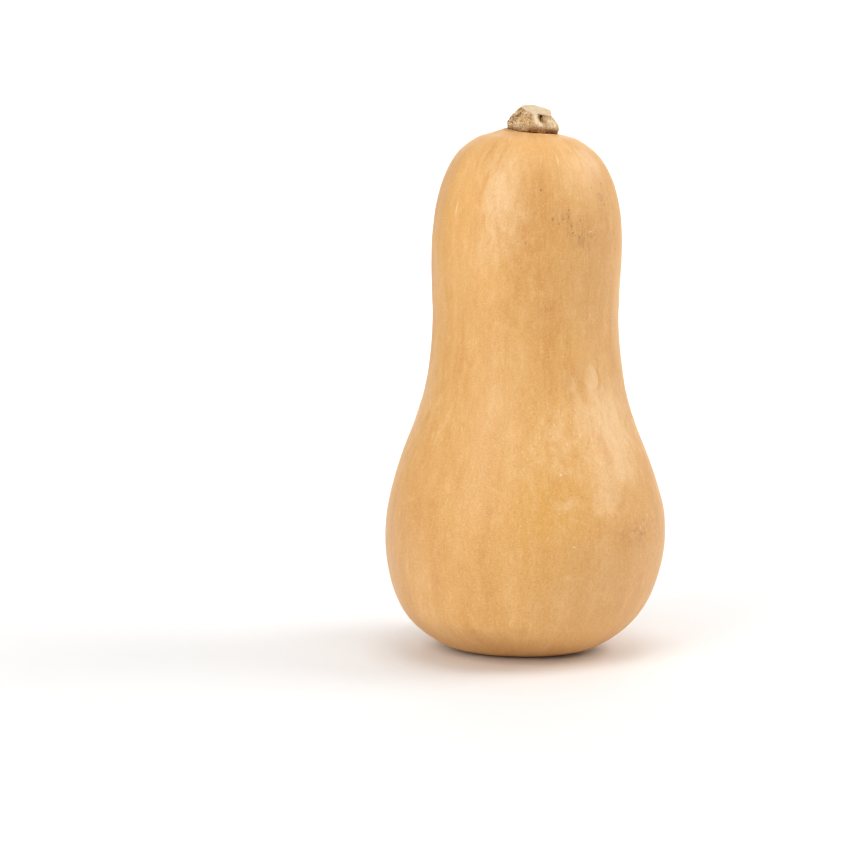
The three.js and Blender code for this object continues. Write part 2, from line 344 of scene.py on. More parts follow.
def stem_point(a, u, h):
    deg = np.degrees(a) + 90
    left = 0.5 - 0.5 * np.sin(np.radians(deg))
    r = np.interp(h, STEM_SHARES, STEM_LEFT) * left + np.interp(h, STEM_SHARES, STEM_RIGHT) * (1 - left)
    r = r * (1 + (outline(deg - STEM_TWIST * (1 - h)) - 1) * (0.12 + 0.88 * smooth(0.05, 0.95, h)))
    x = STEM_X + STEM_LEAN_X * h + u * r * np.cos(a)
    y = STEM_Y + STEM_LEAN_Y * h + u * r * np.sin(a)
    top = STEM_HEIGHT + CUT_SLOPE_X * (x - STEM_X - STEM_LEAN_X) + CUT_SLOPE_Y * (y - STEM_Y - STEM_LEAN_Y)
    w = smooth(0, 0.5, h)
    z = skin_height(x, y) * (1 - w) + skin_height(STEM_X, STEM_Y) * w + GAP + h * top
    return np.stack([x + FRAME_X, y + FRAME_Y, z], -1)


def granules(p, seed):
    """Rounded lumps parted by narrow gaps, 0 in the gaps to 1 on top, at points p."""
    flat = p.reshape(-1, 3)
    out = np.empty(len(flat))
    for i, (x, y, z) in enumerate(flat.tolist()):
        dist = mnoise.voronoi((x + seed, y, z))[0]
        out[i] = min(1.0, 2.2 * (dist[1] - dist[0]))
    return out.reshape(p.shape[:-1])


under = np.stack([np.linspace(0.05, 1, 12)[:-1], np.zeros(11)], 1)
side = np.stack([np.ones(112), np.linspace(0, 1, 112)], 1)
cut_u = np.linspace(1, 0.03, 44)[1:]
stem_sec = np.vstack([under, side, np.stack([cut_u, np.ones(43)], 1)])
sang = np.arange(SU) / SU * 2 * math.pi - math.pi / 2
SA, U = np.meshgrid(sang, stem_sec[:, 0], indexing="ij")
H = np.broadcast_to(stem_sec[:, 1], SA.shape)
Q = stem_point(SA, U, H)
M = normals_of(Q)
M = np.where((np.sum(M * (Q - Q.mean(axis=(0, 1))), axis=2) < 0)[..., None], -M, M)
deg = np.degrees(SA) + 90
turned = deg - STEM_TWIST * (1 - H)
on_cut = H > 0.9995
on_face = on_cut & (U < 0.9995)
on_side = (U >= 0.9995) & ~on_cut

# Dry cork: knobbly grains and pits in the flutes and round the foot, smoother on the ridges.
lumps = fbm(Q / np.array([3.6, 3.6, 2.8]), 101, 3)
grain = fbm(Q / 0.8, 113, 3, 0.6)
big_grains = granules(Q / 1.25 + 0.35 * noise3(Q / 1.1, 117)[..., None], 3.0)
small_grains = granules(Q / 0.62 + 0.3 * noise3(Q / 0.7, 119)[..., None], 40.0)


def hump_at(at, wide):
    return np.exp(-((wrap(deg - at) / wide) ** 2))


def crest_at(at, wide, h0, h1):
    return np.exp(-((wrap(turned - at + 9 * lumps * (1 - H)) / wide) ** 2)) * smooth(h0, h1, H + 0.1 * lumps)


front_crest = crest_at(-3 + 22 * np.clip(0.8 - H, 0, 0.6), 9.5, 0.18, 0.42)
right_crest = crest_at(54, 21, 0.1, 0.3) * (1 - 0.5 * smooth(0.75, 1, H)) * (1 - 0.9 * hump_at(35, 19) * smooth(0.36, 0.54, H))
crest = np.clip(front_crest + right_crest + 0.8 * (crest_at(121, 13, 0.3, 0.6) + crest_at(234, 12, 0.3, 0.6) + crest_at(183, 12, 0.4, 0.7)), 0, 1)
bark = np.exp(-((wrap(turned - 268) / 15) ** 2)) * smooth(0.28, 0.42, H)
knob = 1 - 0.8 * crest
gritty = 0.55 + 0.75 * smooth(-0.35, 0.35, fbm(Q / 2.6, 115, 2))
furrow = smooth(0.1, 0.55, noise3(np.stack([np.cos(SA) * 7, np.sin(SA) * 7, H * 1.6], -1) + 0.25 * noise3(Q / 1.5, 121)[..., None], 123))
side_d = (0.55 * lumps + 0.4 * grain * knob + 0.26 * (big_grains - 0.6) * knob * gritty + 0.14 * (small_grains - 0.6) * knob
          - 0.3 * furrow * knob)
# Strands that run down the ridges and fan out over the foot.
strand_at = np.stack([np.cos(SA) * 10, np.sin(SA) * 10, H * 1.1], -1)
side_d = side_d + 0.26 * noise3(strand_at, 127) * (0.45 + 0.55 * crest)
# The skirt of the foot breaks up into lobes.
skirt = noise3(np.stack([np.cos(SA) * 3.4, np.sin(SA) * 3.4, H * 2.2], -1), 129)
side_d = side_d + 0.42 * skirt * (1 - smooth(0.1, 0.5, H))


def slit(deg0, lean, h0, h1, wide, depth, seed):
    """A crack that runs down the side from share h1 to h0, deg0 at its top."""
    wob = 3.2 * noise3(np.stack([H * 6, 0 * H + deg0, 0 * H], -1), seed)
    off = wrap(deg - deg0 - lean * (h1 - H)) + wob
    return depth * np.exp(-((off / wide) ** 2)) * smooth(h0 - 0.1, h0 + 0.06, H) * (1 - smooth(h1 - 0.02, h1 + 0.06, H))


cracks = (slit(32, 3, 0.66, 0.93, 4.6, 1.4, 137) + slit(322, 10, 0.3, 0.62, 3.0, 0.4, 139) + slit(150, -8, 0.45, 0.9, 4.0, 0.55, 141)
          + slit(205, 10, 0.25, 0.55, 3.2, 0.5, 143) + slit(246, 12, 0.5, 0.9, 4.0, 0.6, 145))
# Bark on the left ridge, in short overlapping strips.
strips = noise3(np.stack([np.cos(SA) * 13, np.sin(SA) * 13, H * 4.2], -1), 131)
side_d = side_d + 0.42 * strips * bark + 0.3 * front_crest
side_d = (side_d - cracks) * (1 - 0.75 * smooth(0.93, 1.0, H))
# Under the front right the foot is drawn in over the lip of skin.
side_d = side_d + 0.45 * hump_at(82, 22) * np.exp(-(((H - 0.2) / 0.14) ** 2))
side_d = side_d - 0.7 * (1 - smooth(0, 0.09, H)) * np.exp(-((wrap(deg - 42) / 50) ** 2))
# The cut: nearly flat, a little torn, with a chipped edge and a sunken pith.
face_at = np.stack([Q[..., 0], Q[..., 1], 0 * H], -1)
rim_chips = np.maximum(0, noise3(np.stack([np.cos(SA) * 4, np.sin(SA) * 4, 0 * H], -1), 157))
face_d = (0.1 * fbm(face_at / 0.8, 149, 3) + 0.3 * fbm(face_at / 3.4, 151, 3)
          - 0.45 * smooth(0.88, 1.0, U) * (0.35 + 0.9 * rim_chips) - 0.2 * np.exp(-((U / 0.16) ** 2)))
notch = 0.5 * np.exp(-((wrap(deg - 32) / 7.0) ** 2)) * smooth(0.86, 1.0, U)
out_dir = np.stack([np.cos(SA), np.sin(SA), 0 * SA], -1)
Q2 = Q + np.where(on_side[..., None], M * side_d[..., None], 0)
Q2 = Q2 + np.where(on_face[..., None], np.array([0, 0, 1.0]) * (face_d - notch)[..., None], 0)
rim_row = on_cut & ~on_face
Q2 = Q2 + np.where(rim_row[..., None], out_dir * (0.4 * side_d)[..., None] + np.array([0, 0, 1.0]) * (face_d - notch)[..., None], 0)
# The foot of the stub stays bedded in the skin.
Q2[..., 2] -= (GAP + 0.35) * (1 - smooth(0, 0.1, H))
bed = skin_height(Q2[..., 0] - FRAME_X, Q2[..., 1] - FRAME_Y) - 0.5
Q2[..., 2] = np.maximum(Q2[..., 2], bed)
foot_pt = np.array([STEM_X + FRAME_X, STEM_Y + FRAME_Y, float(Q2[:, 0, 2].mean())])
stem = grid_mesh("stem_stub", Q2, foot_pt, Q2[:, -1].mean(axis=0))
# Height of the grains, low in the gaps between them; it carries the painted shade in those gaps.
hollow = np.where(on_side, big_grains * 0.6 + small_grains * 0.4, 1.0)


def zone(at, wide, h, tall):
    return np.exp(-((wrap(turned - at) / wide) ** 2) - ((H - h) / tall) ** 2) * ~on_cut


flute = np.exp(-((wrap(deg - 33) / 24) ** 2)) * smooth(0.3, 0.62, H) * (1 - front_crest)
for name, field, ends in (
    ("cut", np.where(on_cut, 1.0, smooth(0.965, 1.0, H + 0.015 * grain)) * (1 - smooth(0.25, 0.9, cracks)), (0, 1)),
    ("crest", crest * ~on_cut, (0, 0)),
    ("pinkish", right_crest * ~on_cut, (0, 0)),
    ("bark", bark * np.clip(0.5 + 1.4 * strips, 0, 1) * ~on_cut, (0, 0)),
    ("flute", flute * ~on_cut, (0, 0)),
    ("mealy", 1.2 * zone(306, 30, 0.36, 0.12) + zone(285, 14, 0.22, 0.1) + 0.6 * zone(20, 14, 0.36, 0.07), (0, 0)),
    ("amber", zone(302, 8, 0.66, 0.07) + zone(333, 9, 0.6, 0.08) + zone(318, 6, 0.5, 0.05), (0, 0)),
    ("brownish", zone(354, 40, 0.19, 0.16) + 0.7 * zone(38, 24, 0.13, 0.12), (0, 0)),
    ("olive", zone(326, 10, 0.64, 0.09) + zone(286, 9, 0.5, 0.09), (0, 0)),
    ("grains", hollow, (0, 1)),
    ("dip", np.where(on_side, side_d, 0.5 * face_d), (0, 0)),
    ("up", H, (0, 1)),
    ("rim", U * on_cut, (0, 0)),
    ("crack", (cracks + 1.2 * notch * on_cut) * (on_side | on_cut), (0, 0)),
):
    put(stem, name, np.concatenate([np.asarray(field, float).ravel(), ends]))
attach(stem, "root")
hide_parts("stem")


# ---------------------------------------------------------------- materials
def lin(*rgb):
    out = [(c / 255) / 12.92 if c / 255 <= 0.04045 else ((c / 255 + 0.055) / 1.055) ** 2.4 for c in rgb]
    return (*out, 1.0)


class Tree:
    """Short ways to add and join shader nodes."""

    def __init__(self, name):
        self.mat = bpy.data.materials.new(name)
        self.mat.use_nodes = True
        self.t = self.mat.node_tree
        self.t.nodes.clear()
        self.out = self.t.nodes.new("ShaderNodeOutputMaterial")
        self.bsdf = self.t.nodes.new("ShaderNodeBsdfPrincipled")
        self.t.links.new(self.bsdf.outputs[0], self.out.inputs[0])

    def link(self, value, socket):
        if isinstance(value, bpy.types.NodeSocket):
            self.t.links.new(value, socket)
        else:
            socket.default_value = value

    def attr(self, name, vector=False):
        n = self.t.nodes.new("ShaderNodeAttribute")
        n.attribute_name = name
        return n.outputs["Vector" if vector else "Fac"]

    def vec(self, v, scale, offset=(0, 0, 0)):
        n = self.t.nodes.new("ShaderNodeMapping")
        self.link(v, n.inputs["Vector"])
        n.inputs["Scale"].default_value = scale
        n.inputs["Location"].default_value = offset
        return n.outputs[0]

    def noise(self, v, wave, detail=3.0, rough=0.5, distort=0.0):
        n = self.t.nodes.new("ShaderNodeTexNoise")
        self.link(v, n.inputs["Vector"])
        n.inputs["Scale"].default_value = 1.0 / wave
        n.inputs["Detail"].default_value = detail
        n.inputs["Roughness"].default_value = rough
        n.inputs["Distortion"].default_value = distort
        return n.outputs["Fac"]

    def cells(self, v, wave, out="Distance", jitter=1.0):
        n = self.t.nodes.new("ShaderNodeTexVoronoi")
        self.link(v, n.inputs["Vector"])
        n.inputs["Scale"].default_value = 1.0 / wave
        n.inputs["Randomness"].default_value = jitter
        return n.outputs[out]

    def ramp(self, x, a, b, lo=0.0, hi=1.0, kind="SMOOTHSTEP"):
        n = self.t.nodes.new("ShaderNodeMapRange")
        n.interpolation_type = kind
        self.link(x, n.inputs["Value"])
        n.inputs["From Min"].default_value = a
        n.inputs["From Max"].default_value = b
        n.inputs["To Min"].default_value = lo
        n.inputs["To Max"].default_value = hi
        return n.outputs["Result"]

    def math(self, op, a, b=0.0, c=None, clamp=False):
        n = self.t.nodes.new("ShaderNodeMath")
        n.operation = op
        n.use_clamp = clamp
        self.link(a, n.inputs[0])
        self.link(b, n.inputs[1])
        if c is not None:
            self.link(c, n.inputs[2])
        return n.outputs[0]

    def mul(self, *factors):
        out = factors[0]
        for f in factors[1:]:
            out = self.math("MULTIPLY", out, f)
        return out

    def far(self, v, centre, size):
        """Distance of v from a centre, 1 at the given half sizes."""
        n = self.t.nodes.new("ShaderNodeVectorMath")
        n.operation = "SUBTRACT"
        self.link(v, n.inputs[0])
        n.inputs[1].default_value = centre
        m = self.t.nodes.new("ShaderNodeVectorMath")
        m.operation = "DIVIDE"
        self.link(n.outputs[0], m.inputs[0])
        m.inputs[1].default_value = size
        k = self.t.nodes.new("ShaderNodeVectorMath")
        k.operation = "LENGTH"
        self.link(m.outputs[0], k.inputs[0])
        return k.outputs["Value"]

    def mix(self, fac, a, b, blend="MIX"):
        n = self.t.nodes.new("ShaderNodeMix")
        n.data_type = "RGBA"
        n.blend_type = blend
        n.clamp_factor = True
        self.link(fac, n.inputs[0])
        self.link(a, n.inputs[6])
        self.link(b, n.inputs[7])
        return n.outputs[2]

    def bump(self, height, distance, strength=1.0, normal=None):
        n = self.t.nodes.new("ShaderNodeBump")
        n.inputs["Strength"].default_value = strength
        n.inputs["Distance"].default_value = distance
        self.link(height, n.inputs["Height"])
        if normal is not None:
            self.link(normal, n.inputs["Normal"])
        return n.outputs[0]


def at_skin(deg, way):
    """Skin coordinates of a mark: degrees from -Y towards +X, millimetres along the fruit."""
    a = math.radians(deg - 90)
    return (55 * math.cos(a), 55 * math.sin(a), way)


def skin_material():
    t = Tree("squash_skin")
    sk = t.attr("skin", vector=True)  # mm: round the fruit and along it
    clouds = t.noise(t.vec(sk, (1, 1, 0.42)), 38, 2, 0.5)
    blots = t.noise(t.vec(sk, (1, 1, 0.42), (40, 11, 7)), 11, 3, 0.52, 0.4)
    mottle = t.noise(t.vec(sk, (1, 1, 0.6), (17, 5, 60)), 4.6, 3, 0.55, 0.5)
    freckle = t.noise(t.vec(sk, (1, 1, 0.85), (71, 3, 4)), 1.9, 3, 0.6, 0.4)
    bands = t.noise(t.vec(sk, (1, 1, 0.09), (3, 70, 0)), 9.5, 3, 0.5, 0.3)
    streaks = t.noise(t.vec(sk, (1, 1, 0.09), (9, 2, 31)), 2.9, 3, 0.55, 0.2)
    fibres = t.noise(t.vec(sk, (1, 1, 0.14), (5, 8, 3)), 0.9, 2, 0.5)
    fine = t.noise(t.vec(sk, (1, 1, 0.9), (1, 8, 3)), 0.62, 2, 0.6)
    deep, tan_, light = lin(214, 154, 82), lin(223, 168, 97), lin(236, 189, 125)
    gold, rosy, orange = lin(222, 164, 80), lin(219, 166, 109), lin(235, 175, 98)
    tone = t.math("MULTIPLY_ADD", clouds, 0.38, t.math("MULTIPLY_ADD", bands, 0.34, t.math("MULTIPLY_ADD", blots, 0.22, t.mul(mottle, 0.14))))
    col = t.mix(t.ramp(tone, 0.42, 0.56), deep, tan_)
    col = t.mix(t.ramp(tone, 0.54, 0.7, 0, 0.75), col, light)
    # Patches of warmer, yellower and pinker skin.
    col = t.mix(t.mul(t.attr("warm"), 0.6), col, orange)
    col = t.mix(t.mul(t.attr("gold"), 0.75), col, gold)
    col = t.mix(t.mul(t.attr("rosy"), 0.6), col, rosy)
    # Darker patches of skin; on the front right of the neck they are partly painted shade.
    col = t.mix(t.mul(t.attr("dark_tone_and_shade"), t.ramp(blots, 0.3, 0.6, 0.35, 0.7)), col, lin(207, 149, 84))
    # Paler patches of skin; the large ones on the right are partly a painted highlight.
    pale_skin_and_highlight = t.math("MULTIPLY_ADD", t.attr("pale_skin_and_highlight"), 0.75, t.math("SUBTRACT", t.mul(mottle, 0.9), 0.45))
    col = t.mix(t.ramp(pale_skin_and_highlight, 0.0, 0.9, 0, 0.78), col, lin(241, 201, 149))
    # Mottling.
    col = t.mix(t.ramp(mottle, 0.52, 0.72, 0, 0.13), col, lin(242, 199, 140))
    col = t.mix(t.ramp(mottle, 0.47, 0.28, 0, 0.13), col, lin(205, 143, 74))
    col = t.mix(t.ramp(freckle, 0.54, 0.74, 0, 0.11), col, lin(245, 206, 150))
    col = t.mix(t.ramp(freckle, 0.45, 0.27, 0, 0.11), col, lin(198, 135, 69))
    # Streaks and fibres along the fruit.
    col = t.mix(t.ramp(streaks, 0.53, 0.74, 0, 0.09), col, lin(243, 203, 148))
    col = t.mix(t.ramp(streaks, 0.46, 0.28, 0, 0.08), col, lin(203, 142, 76))
    col = t.mix(t.ramp(fibres, 0.45, 0.72, 0, 0.12), col, lin(244, 206, 152))
    col = t.mix(t.ramp(fine, 0.5, 0.72, 0, 0.3), col, lin(247, 210, 156))
    col = t.mix(t.ramp(fine, 0.48, 0.3, 0, 0.3), col, lin(192, 130, 66))
    # Pores: tiny pale dots all over, more of them in patches.
    pores = t.cells(t.vec(sk, (1, 1, 0.8)), 1.55)
    pore_dot = t.mul(t.ramp(pores, 0.3, 0.12), t.ramp(t.cells(t.vec(sk, (1, 1, 0.8)), 1.55, "Color"), 0.35, 0.7))
    col = t.mix(t.mul(pore_dot, t.ramp(blots, 0.4, 0.65, 0.08, 0.3)), col, lin(246, 214, 166))
    # Short pale dashes where the skin has stretched.
    dash_cells = t.cells(t.vec(sk, (1, 1, 0.34), (0, 0, 5)), 1.6)
    dash_patch = t.ramp(t.math("ADD", t.mul(t.attr("stretch"), 0.35), t.noise(t.vec(sk, (1, 1, 0.8), (90, 0, 0)), 18, 3, 0.5)), 0.62, 0.84)
    dashes = t.mul(t.ramp(dash_cells, 0.34, 0.12), t.ramp(t.cells(t.vec(sk, (1, 1, 0.34), (0, 0, 5)), 1.6, "Color"), 0.3, 0.6), dash_patch)
    col = t.mix(t.mul(dashes, 0.46), col, lin(248, 216, 168))
    # Thin pale scratches that follow the fruit, few and long.
    scratch_cells = t.cells(t.vec(sk, (1, 1, 0.085), (13, 5, 40)), 13)
    scratches = t.mul(t.ramp(scratch_cells, 0.04, 0.012), t.ramp(t.noise(sk, 2.2, 2, 0.5), 0.42, 0.6))
    col = t.mix(t.mul(scratches, 0.42), col, lin(248, 220, 174))
    # Brown specks in clusters with a dull stain round them.
    patch = t.ramp(t.math("ADD", t.mul(t.attr("speckled"), 0.42), t.mul(t.noise(t.vec(sk, (1, 1, 0.7), (0, 55, 9)), 24, 2, 0.5), 0.8)), 0.5, 0.78, 0.02, 1)
    specks = None
    for wave, size, off in ((4.6, 0.085, 7), (2.6, 0.1, 31)):
        v = t.vec(sk, (1, 1, 0.9), (off, 3, 2))
        pick = t.ramp(t.cells(v, wave, "Color"), 0.5, 0.75)
        ragged = t.mul(t.math("SUBTRACT", t.noise(sk, 0.6, 2, 0.6), 0.5), 0.14)
        one = t.mul(t.ramp(t.math("ADD", t.cells(v, wave), ragged), size + 0.04, size - 0.03), pick, patch)
        specks = one if specks is None else t.math("MAXIMUM", specks, one)
    stain = t.mul(t.ramp(t.noise(t.vec(sk, (1, 1, 0.45), (2, 91, 60)), 5.5, 4, 0.66), 0.47, 0.66), patch)
    col = t.mix(t.mul(stain, 0.42), col, lin(178, 126, 82))
    col = t.mix(t.mul(specks, 0.6), col, lin(148, 96, 52))
    # Grey-brown rubbing.
    rub = t.mul(t.ramp(t.noise(t.vec(sk, (1, 0.9, 1), (21, 9, 6)), 2.4, 5, 0.7), 0.46, 0.62), t.attr("rubbed"))
    col = t.mix(t.mul(rub, 0.62), col, lin(182, 134, 84))
    # Single marks: healed nicks that stand up pale, and small brown dots.
    nicks = None
    for deg_, way, sx, sz in (
        (16.2, 141.9, 0.8, 0.9), (19.7, 108.2, 0.75, 0.5), (33.5, 271.3, 0.4, 1.0), (11.2, 269.2, 0.32, 0.32), (41.5, 255.4, 1.15, 0.38), (-71, 196, 0.7, 0.7),
        (118, 150, 0.8, 0.6), (163, 238, 0.6, 0.9), (212, 112, 0.9, 0.7), (-100, 92, 0.7, 0.8),
    ):
        one = t.ramp(t.math("ADD", t.far(sk, at_skin(deg_, way), (sx, sx, sz)), t.mul(t.noise(sk, 0.6, 2, 0.6), 0.5)), 1.3, 0.75)
        nicks = one if nicks is None else t.math("MAXIMUM", nicks, one)
    col = t.mix(t.mul(nicks, 0.6), col, lin(248, 224, 186))
    dots = None
    for deg_, way, size in (
        (8.3, 275.5, 0.8), (15.5, 261.6, 0.85), (19.5, 259.4, 0.5), (22.3, 261.6, 0.55), (26.3, 266, 0.6), (26, 262.7, 0.55), (27.8, 258.3, 0.7), (28.8, 255, 0.6),
        (33.5, 252.9, 0.7), (39.4, 254.2, 0.6), (65.7, 253.9, 0.55), (67.8, 246.5, 0.6), (62, 250.8, 0.45), (56.8, 278.6, 0.5), (46.3, 276.5, 0.45), (51.8, 273.4, 0.5),
        (56, 268.1, 0.7), (53.5, 270.3, 0.45), (61.5, 271.3, 0.45), (-0.2, 250.8, 0.5), (58.7, 149.4, 0.5), (61, 139.4, 0.5),
        (-88, 214, 0.7), (140, 190, 0.8), (196, 148, 0.6), (231, 229, 0.7),
    ):
        one = t.ramp(t.math("ADD", t.far(sk, at_skin(deg_, way), (size, size, size)), t.mul(t.noise(sk, 0.5, 2, 0.6), 1.1)), 1.75, 0.85)
        dots = one if dots is None else t.math("MAXIMUM", dots, one)
    col = t.mix(t.mul(dots, 0.64), col, lin(150, 97, 54))
    # Thin pale streaks near the shoulder.
    for deg_, way, length in ((23.2, 291.5, 6.5), (-21.5, 305.6, 3.6), (-50, 266, 5), (171, 284, 8), (-96, 291, 6)):
        line = t.ramp(t.math("ADD", t.far(sk, at_skin(deg_, way), (0.8, 0.8, length)), t.mul(t.noise(sk, 3.2, 3, 0.6), 1.2)), 1.55, 0.95)
        col = t.mix(t.mul(line, 0.46), col, lin(248, 220, 176))
    # A waxy oval where something touched it, with a fine crease along its right side.
    oval_d = t.math("ADD", t.far(sk, at_skin(42.0, 187.0), (5.3, 5.3, 6.6)), t.mul(t.noise(sk, 4.0, 3, 0.5), 0.6))
    oval = t.mul(t.ramp(oval_d, 1.42, 1.1), t.ramp(t.far(sk, at_skin(35.5, 187.0), (4.6, 4.6, 9)), 0.5, 1.5, 0.45, 1))
    oval_line = t.mul(t.ramp(oval_d, 1.22, 1.3), t.ramp(oval_d, 1.38, 1.3), t.ramp(t.far(sk, at_skin(48.3, 187.0), (3.6, 3.6, 6.4)), 1.15, 0.7))
    col = t.mix(t.mul(oval, 0.5), col, lin(241, 201, 148))
    col = t.mix(t.mul(oval_line, 0.6), col, lin(194, 136, 80))
    # Round the stem and round the foot the skin's colour is darker.
    by_stem = t.attr("by_stem")
    paper = t.attr("paper")
    pos = t.t.nodes.new("ShaderNodeTexCoord").outputs["Object"]
    stem_flecks = t.ramp(t.noise(pos, 0.0007, 3, 0.6), 0.48, 0.64)
    col = t.mix(t.mul(by_stem, 0.25), col, lin(208, 150, 84))
    col = t.mix(t.mul(t.attr("lip"), 0.45), col, lin(246, 204, 146))
    col = t.mix(t.mul(paper, 0.72), col, t.mix(stem_flecks, lin(172, 124, 76), lin(216, 188, 146)))
    col = t.mix(t.mul(t.attr("foot_near"), 0.5), col, lin(204, 146, 84))
    # Blossom scar: dry grey-brown cork.
    scar = t.attr("scar")
    scar_grain = t.noise(pos, 0.0014, 3, 0.6)
    col = t.mix(scar, col, t.mix(t.ramp(scar_grain, 0.35, 0.68), lin(150, 110, 70), lin(208, 174, 128)))
    t.link(col, t.bsdf.inputs["Base Color"])
    rough = t.math("ADD", t.ramp(mottle, 0.35, 0.7, 0.42, 0.53), t.mul(rub, 0.12))
    rough = t.math("ADD", rough, t.math("MULTIPLY_ADD", scar, 0.35, t.mul(paper, 0.25)), clamp=True)
    t.link(rough, t.bsdf.inputs["Roughness"])
    # Relief: pebbling, streaks, pores, dashes and marks.
    pebble = t.noise(t.vec(sk, (1, 1, 0.8)), 5.0, 3, 0.5)
    n1 = t.bump(pebble, 0.0005, 0.7)
    n2 = t.bump(freckle, 0.00014, 0.7, n1)
    n2 = t.bump(streaks, 0.0001, 0.6, n2)
    n3 = t.bump(fine, 0.00006, 0.8, n2)
    n4 = t.bump(t.math("ADD", t.mul(pore_dot, 0.5), t.mul(dashes, 0.8)), 0.00006, 0.8, n3)
    n5 = t.bump(t.math("SUBTRACT", t.mul(nicks, 1.4), t.math("MAXIMUM", specks, dots)), 0.00012, 1.0, n4)
    n6 = t.bump(t.math("SUBTRACT", oval, t.mul(oval_line, 1.5)), 0.00006, 1.0, n5)
    n7 = t.bump(t.mul(scar_grain, scar), 0.0005, 1.0, n6)
    t.link(n7, t.bsdf.inputs["Normal"])
    t.bsdf.inputs["Specular IOR Level"].default_value = 0.36
    t.bsdf.inputs["Coat Weight"].default_value = 0.04
    t.bsdf.inputs["Coat Roughness"].default_value = 0.3
    t.bsdf.inputs["Subsurface Weight"].default_value = 0.05
    t.bsdf.inputs["Subsurface Radius"].default_value = (0.006, 0.003, 0.0012)
    t.bsdf.inputs["Subsurface Scale"].default_value = 0.5
    return t.mat


